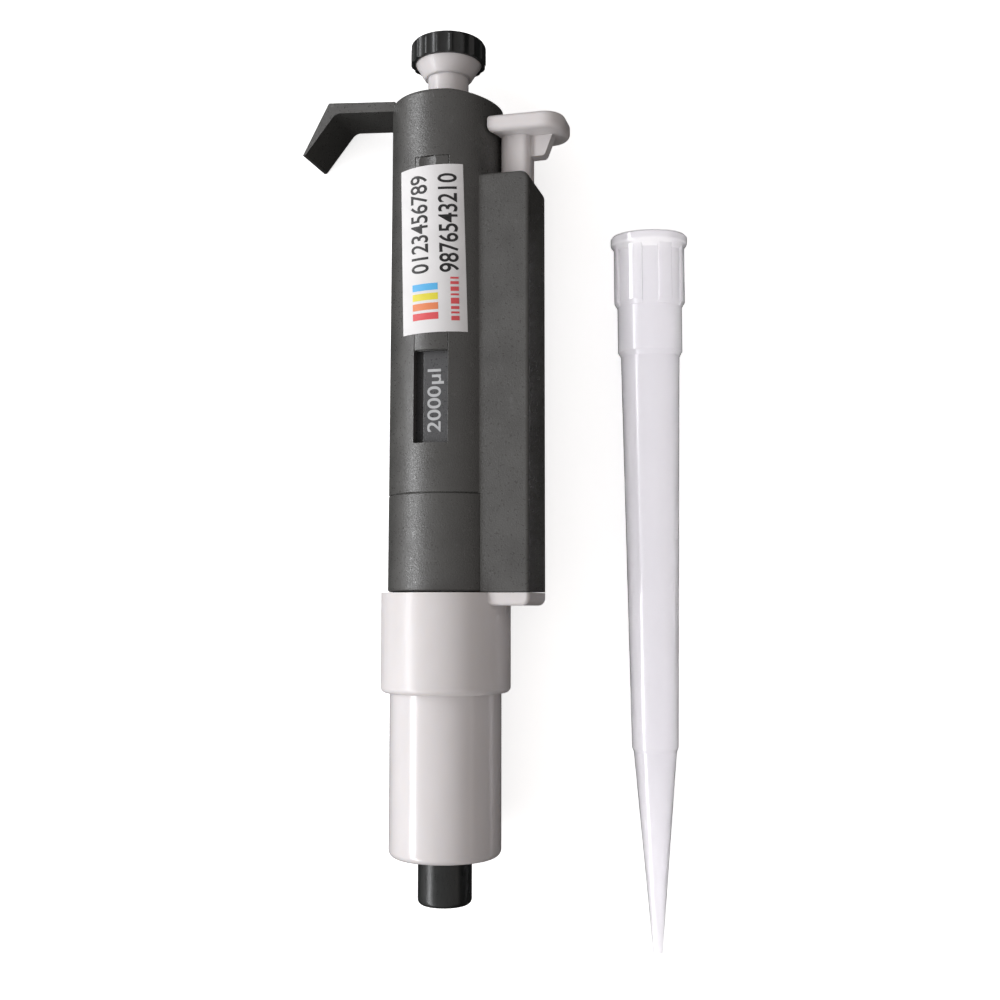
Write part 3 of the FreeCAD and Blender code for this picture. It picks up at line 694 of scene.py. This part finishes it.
bench_shape = bmesh.new()
bmesh.ops.create_grid(bench_shape, x_segments=8, y_segments=8, size=TENT_RADIUS)
set_piece("bench", bench_shape)
tent_shape = bmesh.new()
bmesh.ops.create_icosphere(tent_shape, subdivisions=4, radius=TENT_RADIUS)
below = [corner for corner in tent_shape.verts if corner.co.z < TENT_FOOT]
bmesh.ops.delete(tent_shape, geom=below, context="VERTS")
tent = set_piece("tent", tent_shape)
tent.visible_shadow = False
print("bench at height 0, tent", TENT_RADIUS, "m round it")

# %% [markdown]
# ## Light
# A long low box on the left draws one bright line down each round piece, and a faint warm one on
# the right keeps the far edges from going black. A narrow box gives a narrow line, so each is
# long and low.

# %% Lights


def soft_box(name, azimuth, elevation, distance, wide, tall, watts, colour):
    """Flat light that looks at the middle of the set. Azimuth 0 is +X and 90 is +Y, in degrees."""
    a, e = math.radians(azimuth), math.radians(elevation)
    back = Vector((math.cos(e) * math.cos(a), math.cos(e) * math.sin(a), math.sin(e)))
    side = Vector((0, 0, 1)).cross(back).normalized()
    lamp = bpy.data.lights.new(name, "AREA")
    lamp.shape = "RECTANGLE"
    lamp.size, lamp.size_y = wide, tall
    lamp.energy = watts
    lamp.color = colour
    holder = in_scene(name, lamp)
    holder.matrix_world = (Matrix.Translation(back * distance)
                           @ Matrix((side, back.cross(side), back)).transposed().to_4x4())
    print(name, [round(c, 2) for c in holder.matrix_world.translation])


soft_box("light_left", azimuth=185, elevation=28, distance=0.8, wide=1.5, tall=0.18,
         watts=8.1, colour=(0.97, 0.98, 1.0))
soft_box("light_right", azimuth=0, elevation=32, distance=0.9, wide=1.4, tall=0.08,
         watts=0.35, colour=(1.0, 0.93, 0.88))

# %% [markdown]
# ## Glow above
# The rest of the light is a soft warm glow from the whole sky. It is strongest above and to the
# left and fades low down on the right, which gives the round pieces their gentle shade. It is
# worked out from how well each direction agrees with the one that the glow comes from.

# %% Sky
GLOW_FROM = (-0.45, 0.0, 0.89)
GLOW_FADES = (-0.1, 0.3)       # agreement at which it is weakest and strongest
GLOW_STRENGTH = (0.03, 0.51)   # how strong it is at those two
GLOW_COLOUR = (1.0, 0.95, 0.93, 1.0)
world = bpy.data.worlds.new("light_tent")
world.use_nodes = True
sky = world.node_tree
sky_direction = sky.nodes.new("ShaderNodeTexCoord")
agreement = sky.nodes.new("ShaderNodeVectorMath")
agreement.operation = "DOT_PRODUCT"
agreement.inputs[1].default_value = GLOW_FROM
sky.links.new(sky_direction.outputs["Generated"], agreement.inputs[0])
glow = spread(sky, agreement.outputs["Value"], *GLOW_STRENGTH, *GLOW_FADES)
sky.links.new(glow, sky.nodes["Background"].inputs["Strength"])
sky.nodes["Background"].inputs["Color"].default_value = GLOW_COLOUR
bpy.context.scene.world = world
bpy.context.scene.view_settings.view_transform = "Standard"
print("glow from", GLOW_FROM)

# %% [markdown]
# ## Camera
# The view is from almost straight above, standing over the pipette's nozzle and leaning a little
# towards the knob and the left. That lean is what shows the front of the label, the right flank
# of the ejector's housing and a narrow edge of the tip's mouth.

# %% Camera
EYE = Vector((17.54, -19.50, 275.2)) * MM
TILT = math.radians(3.8166)     # leans towards the knob
PAN = math.radians(3.5107)      # leans to the left
LENS_MM, SENSOR_MM = 45.72, 36.0
NEAREST_SEEN = 0.01
camera_data = bpy.data.cameras.new("camera")
camera_data.lens = LENS_MM
camera_data.sensor_width = SENSOR_MM
camera_data.clip_start = NEAREST_SEEN
camera = in_scene("camera", camera_data)
camera.matrix_world = (Matrix.Translation(EYE) @ Matrix.Rotation(PAN, 4, "Y")
                       @ Matrix.Rotation(TILT, 4, "X"))
bpy.context.scene.camera = camera
print("camera axes", [[round(c, 4) for c in row]
                      for row in camera.matrix_world.to_3x3().transposed()])
